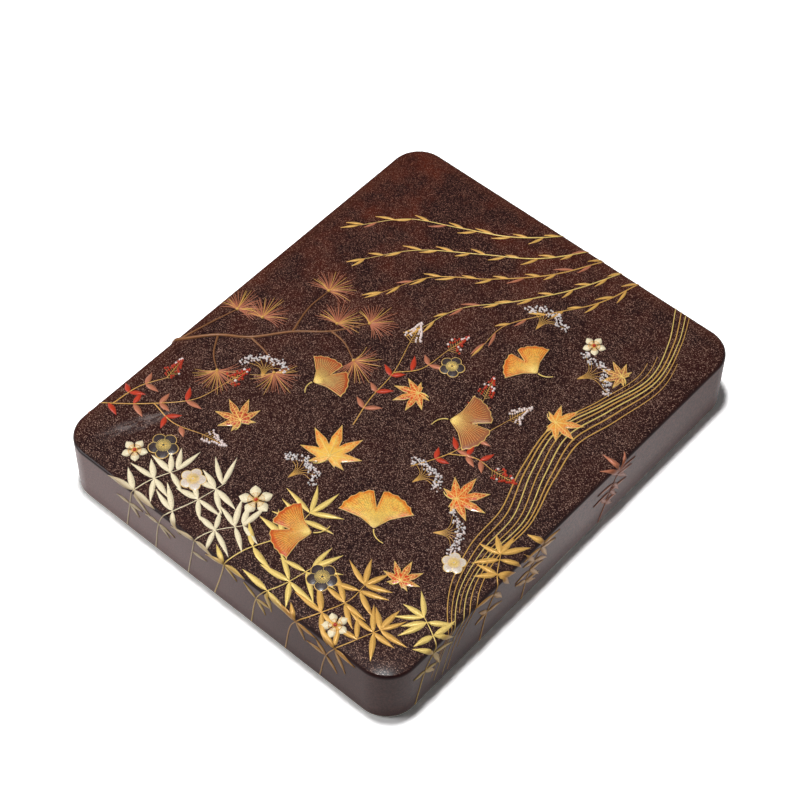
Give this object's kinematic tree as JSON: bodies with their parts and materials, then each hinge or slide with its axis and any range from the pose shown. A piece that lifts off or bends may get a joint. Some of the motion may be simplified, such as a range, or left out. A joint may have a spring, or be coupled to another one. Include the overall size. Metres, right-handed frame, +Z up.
{
  "type": "writing box with ink stone",
  "caption": "Flat lacquered writing box with a full-depth lift-off lid, ink stone, water dropper, two trays of writing tools.",
  "frame": {"origin": "middle of the underside, on the table", "axes": "+X to the right across the box, +Y to the back along its length, +Z up through the lid"},
  "size_m": [0.195, 0.24, 0.0346],
  "materials": {
    "lid_lacquer": "polished urushi lacquer over wood, dense gold-brown flecks",
    "rim_metal": "pewter-coloured metal edging",
    "maple_relief": "raised lacquer relief in orange, ochre and brown, gold rims",
    "ginkgo_relief": "raised lacquer relief in gold and ochre",
    "plum_relief": "raised lacquer relief, dark pewter",
    "body_lacquer": "polished urushi lacquer over wood",
    "board_lacquer": "polished lacquer with fine flecks",
    "slate": "honed dark slate",
    "dropper_metal": "patinated copper alloy",
    "tray_lacquer": "polished lacquer with fine flecks",
    "gilt_wood": "gold lacquer",
    "shaft_lacquer": "red-brown lacquered bamboo",
    "horn": "polished pale horn",
    "hair": "fine animal hair drawn to a point",
    "handle_lacquer": "dark red-brown lacquer",
    "steel": "polished carbon steel",
    "bamboo": "dark lacquered bamboo",
    "ink": "pressed soot ink with a faint gilt edge"
  },
  "bodies": {
    "body": {"body_box": "body_lacquer", "body_rim": "rim_metal", "tray_ledges": "body_lacquer"},
    "lid": {"lid_shell": "lid_lacquer", "lid_rim": "rim_metal", "maple_inlays": "maple_relief", "ginkgo_inlays": "ginkgo_relief", "plum_inlays": "plum_relief"},
    "baseboard": {"baseboard": "board_lacquer"},
    "ink_stone": {"ink_stone": "slate"},
    "dropper": {"dropper_vessel": "dropper_metal", "dropper_cover": "dropper_metal"},
    "left_tray": {"left_tray": "tray_lacquer"},
    "right_tray": {"right_tray": "tray_lacquer", "brush_rests": "gilt_wood"},
    "knife": {"knife_handle": "handle_lacquer", "knife_blade": "steel"},
    "knife_sheath": {"knife_sheath": "handle_lacquer"},
    "awl": {"awl_handle": "handle_lacquer", "awl_spike": "steel"},
    "awl_cap": {"awl_cap": "handle_lacquer"},
    "holder": {"holder_grip": "bamboo"},
    "holder_ring": {"holder_ring": "rim_metal"},
    "ink_stick": {"ink_stick": "ink"},
    "brush_1": {"brush_1_shaft": "shaft_lacquer", "brush_1_collar": "horn", "brush_1_hair": "hair"},
    "brush_1_cap": {"brush_1_cap": "shaft_lacquer"},
    "brush_2": {"brush_2_shaft": "shaft_lacquer", "brush_2_collar": "horn", "brush_2_hair": "hair"},
    "brush_2_cap": {"brush_2_cap": "shaft_lacquer"}
  },
  "joints": [
    {"name": "lid_lift", "type": "slide", "parent": "body", "child": "lid", "axis": [0, 0, 1], "range_m": [0, 0.15]},
    {"name": "baseboard_lift", "type": "slide", "parent": "body", "child": "baseboard", "axis": [0, 0, 1], "range_m": [0, 0.015]},
    {"name": "ink_stone_lift", "type": "slide", "parent": "body", "child": "ink_stone", "axis": [0, 0, 1], "range_m": [0, 0.03]},
    {"name": "dropper_lift", "type": "slide", "parent": "body", "child": "dropper", "axis": [0, 0, 1], "range_m": [0, 0.03]},
    {"name": "left_tray_lift", "type": "slide", "parent": "body", "child": "left_tray", "axis": [0, 0, 1], "range_m": [0, 0.06]},
    {"name": "right_tray_lift", "type": "slide", "parent": "body", "child": "right_tray", "axis": [0, 0, 1], "range_m": [0, 0.06]},
    {"name": "brush_1_lift", "type": "slide", "parent": "right_tray", "child": "brush_1", "axis": [0, 0, 1], "range_m": [0, 0.045]},
    {"name": "brush_2_lift", "type": "slide", "parent": "right_tray", "child": "brush_2", "axis": [0, 0, 1], "range_m": [0, 0.045]},
    {"name": "knife_lift", "type": "slide", "parent": "left_tray", "child": "knife", "axis": [0, 0, 1], "range_m": [0, 0.045]},
    {"name": "awl_lift", "type": "slide", "parent": "left_tray", "child": "awl", "axis": [0, 0, 1], "range_m": [0, 0.045]},
    {"name": "holder_lift", "type": "slide", "parent": "left_tray", "child": "holder", "axis": [0, 0, 1], "range_m": [0, 0.045]},
    {"name": "brush_1_cap_slide", "type": "slide", "parent": "brush_1", "child": "brush_1_cap", "axis": [0, 1, 0], "range_m": [0, 0.038]},
    {"name": "brush_2_cap_slide", "type": "slide", "parent": "brush_2", "child": "brush_2_cap", "axis": [0, 1, 0], "range_m": [0, 0.038]},
    {"name": "knife_sheath_slide", "type": "slide", "parent": "knife", "child": "knife_sheath", "axis": [0, 1, 0], "range_m": [0, 0.056]},
    {"name": "awl_cap_slide", "type": "slide", "parent": "awl", "child": "awl_cap", "axis": [0, 1, 0], "range_m": [0, 0.052]},
    {"name": "holder_ring_slide", "type": "slide", "parent": "holder", "child": "holder_ring", "axis": [0, -1, 0], "range_m": [0, 0.015]},
    {"name": "ink_stick_slide", "type": "slide", "parent": "holder", "child": "ink_stick", "axis": [0, 1, 0], "range_m": [0, 0.026]}
  ],
  "couplings": [
    {"joint": "baseboard_lift", "follows": "lid_lift", "ratio": 0.1},
    {"joint": "ink_stone_lift", "follows": "lid_lift", "ratio": 0.2},
    {"joint": "dropper_lift", "follows": "lid_lift", "ratio": 0.2},
    {"joint": "left_tray_lift", "follows": "lid_lift", "ratio": 0.4},
    {"joint": "right_tray_lift", "follows": "lid_lift", "ratio": 0.4},
    {"joint": "brush_1_lift", "follows": "lid_lift", "ratio": 0.3},
    {"joint": "brush_2_lift", "follows": "lid_lift", "ratio": 0.3},
    {"joint": "knife_lift", "follows": "lid_lift", "ratio": 0.3},
    {"joint": "awl_lift", "follows": "lid_lift", "ratio": 0.3},
    {"joint": "holder_lift", "follows": "lid_lift", "ratio": 0.3}
  ]
}
